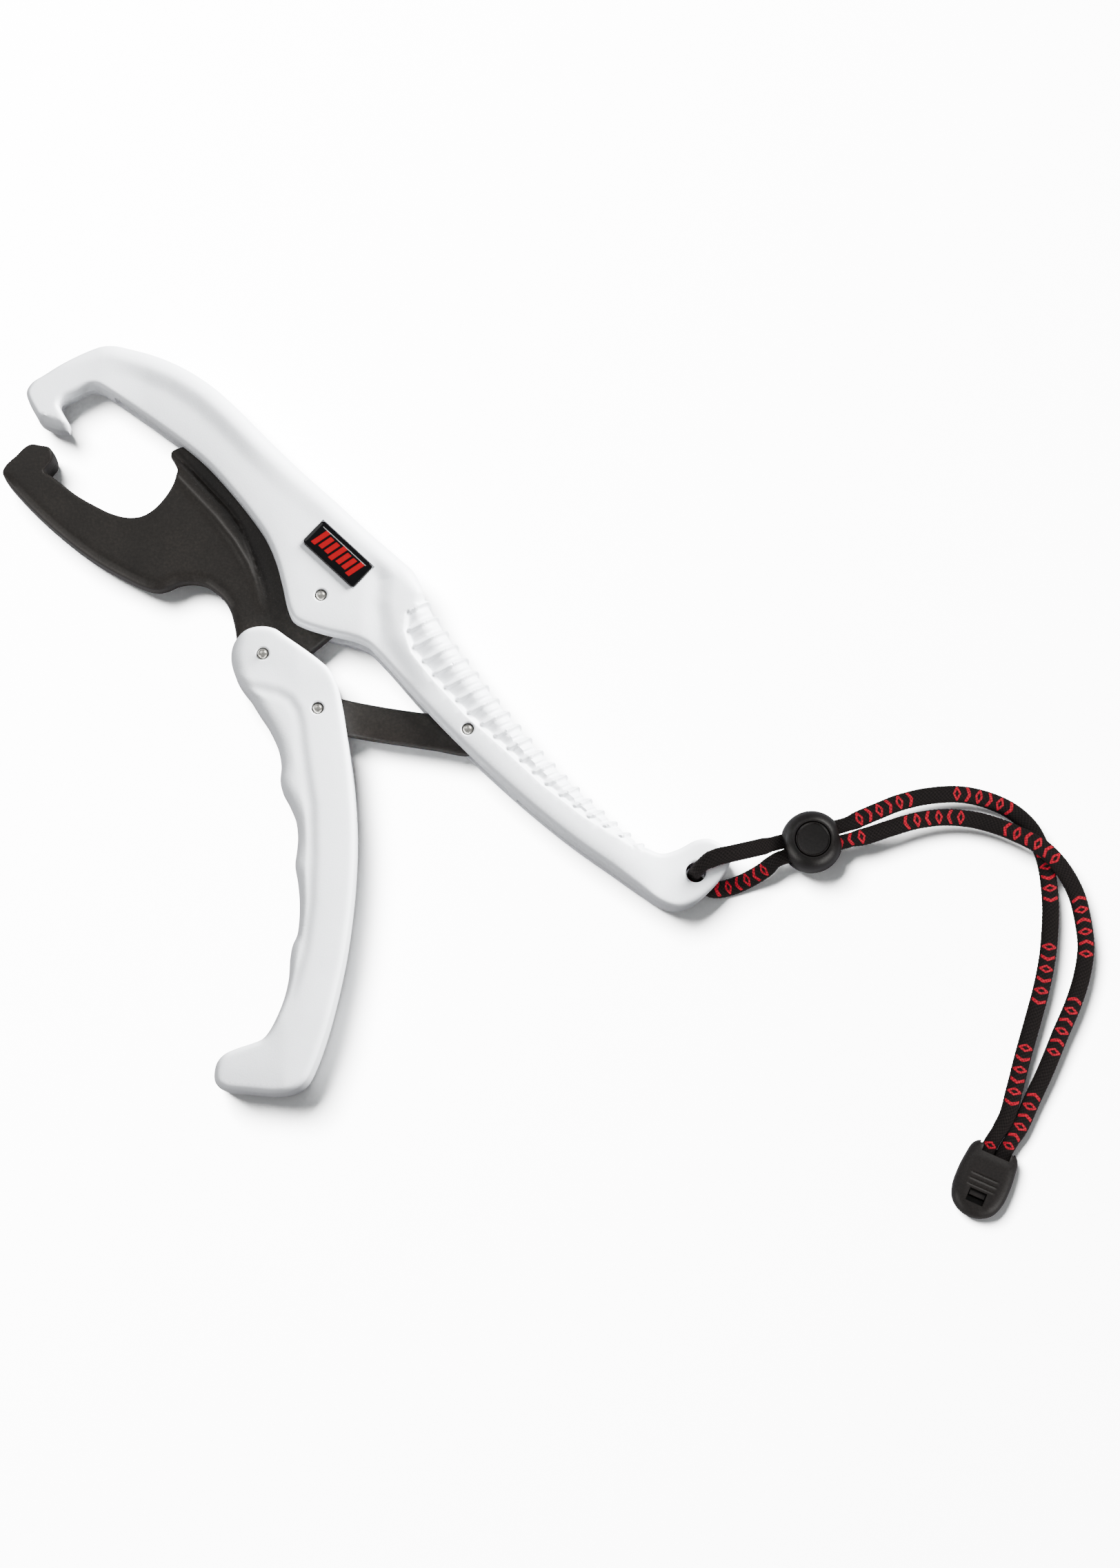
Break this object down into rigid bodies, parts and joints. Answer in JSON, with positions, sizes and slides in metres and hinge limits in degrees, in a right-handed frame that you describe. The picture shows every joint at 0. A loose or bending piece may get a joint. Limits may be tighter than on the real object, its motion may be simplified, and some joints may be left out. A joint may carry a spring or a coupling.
{
  "type": "lip grip",
  "caption": "Floating fish lip grip: hooked upper body and lower jaw closed by a squeeze lever and link bar, with a wrist lanyard and cord lock.",
  "frame": {"origin": "on the flat back cheek of the upper body, below the badge; z = 0 is the plane the tool lies on", "axes": "+X from the jaws towards the lanyard end, +Y towards the back of the grip, +Z out of the badge side"},
  "size_m": [0.2853, 0.2297, 0.0178],
  "materials": {
    "white_plastic": "satin white moulding with a fine texture",
    "black_plastic": "fine-grained warm black moulding",
    "pin_steel": "bright domed pin ends",
    "badge_black": "black badge with a red geometric pattern",
    "badge_resin": "clear glossy dome",
    "float_foam": "closed-cell foam",
    "strip_plastic": "satin white strip",
    "cord_fabric": "woven flat cord, black with red woven marks",
    "lock_plastic": "satin black moulding",
    "spring_steel": "spring wire",
    "end_plastic": "fine-grained black moulding"
  },
  "bodies": {
    "body": {"upper_body": "white_plastic", "jaw_pivot_pin": "pin_steel", "link_rear_pin": "pin_steel", "badge_plate": "badge_black", "badge_dome": "badge_resin", "handle_float_core": "float_foam", "handle_slot_strip": "strip_plastic"},
    "jaw": {"lower_jaw": "black_plastic"},
    "lever": {"squeeze_lever": "white_plastic", "lever_pivot_pin": "pin_steel", "link_front_pin": "pin_steel", "lever_float_core": "float_foam", "lever_slot_strip": "strip_plastic"},
    "link": {"link_bar": "black_plastic"},
    "lanyard": {"lanyard_cord": "cord_fabric", "cord_end_cover": "end_plastic", "cord_end_insert": "end_plastic"},
    "cord_lock": {"cord_lock_barrel": "lock_plastic", "cord_lock_spring": "spring_steel"},
    "lock_button": {"cord_lock_button": "lock_plastic"}
  },
  "joints": [
    {"name": "jaw_pivot", "type": "hinge", "parent": "body", "child": "jaw", "pos_m": [-0.0069, -0.0105, 0.0085], "axis": [0, 0, 1], "range_deg": [-3.5, 14]},
    {"name": "lever_pivot", "type": "hinge", "parent": "jaw", "child": "lever", "pos_m": [-0.0219, -0.026, 0.0085], "axis": [0, 0, 1], "range_deg": [-31, 8]},
    {"name": "link_pivot", "type": "hinge", "parent": "body", "child": "link", "pos_m": [0.0316, -0.046, 0.0085], "axis": [0, 0, 1], "range_deg": [-3, 11]},
    {"name": "lanyard_swing", "type": "hinge", "parent": "body", "child": "lanyard", "pos_m": [0.0906, -0.0831, 0.0085], "axis": [0, 0, 1], "range_deg": [-25, 25]},
    {"name": "cord_lock_slide", "type": "slide", "parent": "lanyard", "child": "cord_lock", "axis": [0.9659, 0.2588, 0], "range_m": [-0.0015, 0.0025]},
    {"name": "cord_lock_press", "type": "slide", "parent": "cord_lock", "child": "lock_button", "axis": [0, 0, -1], "range_m": [0, 0.0018], "stiffness_N_per_m": 800, "springref_m": -0.001, "deforming": ["cord_lock_spring"]}
  ],
  "couplings": [
    {"joint": "lever_pivot", "follows": "jaw_pivot", "ratio": -2.15},
    {"joint": "link_pivot", "follows": "jaw_pivot", "ratio": 0.73}
  ]
}
